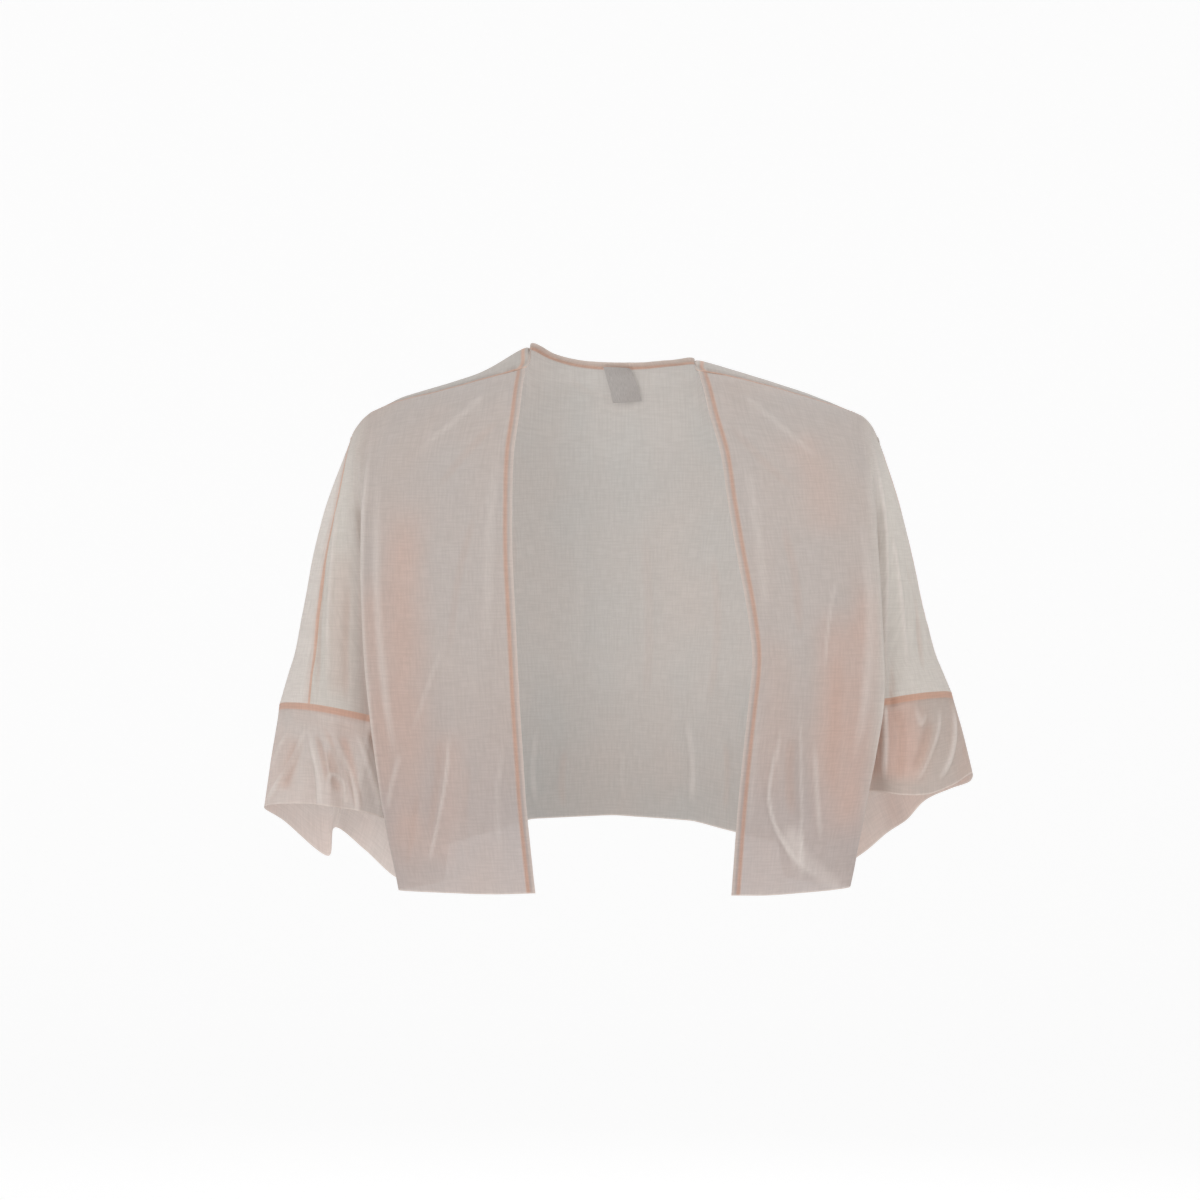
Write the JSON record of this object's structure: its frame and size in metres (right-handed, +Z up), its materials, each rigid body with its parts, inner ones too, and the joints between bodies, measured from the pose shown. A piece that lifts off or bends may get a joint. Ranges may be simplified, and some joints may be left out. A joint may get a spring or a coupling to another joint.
{
  "type": "bolero_jacket",
  "caption": "Sheer blush bolero jacket, open at the front, with wide kimono sleeves, deep flared cuffs and a blank neck label, in the shape that it has when worn.",
  "frame": {"origin": "midway between the neck ends of the two shoulder seams", "axes": "+X is the wearer's left, -Y is the front, +Z is up"},
  "size_m": [0.6646, 0.2414, 0.511],
  "materials": {
    "sheer_cloth": "sheer plain weave",
    "doubled_cloth": "sheer plain weave, doubled",
    "label_satin": "satin"
  },
  "bodies": {
    "root": {"back": "sheer_cloth", "front_left": "sheer_cloth", "front_right": "sheer_cloth", "cuff_left": "sheer_cloth", "cuff_right": "sheer_cloth", "edge_band_left": "doubled_cloth", "edge_band_right": "doubled_cloth", "neck_band": "doubled_cloth", "shoulder_band_left": "doubled_cloth", "shoulder_band_right": "doubled_cloth", "cuff_band_left": "doubled_cloth", "cuff_band_right": "doubled_cloth", "label": "label_satin"}
  },
  "joints": []
}
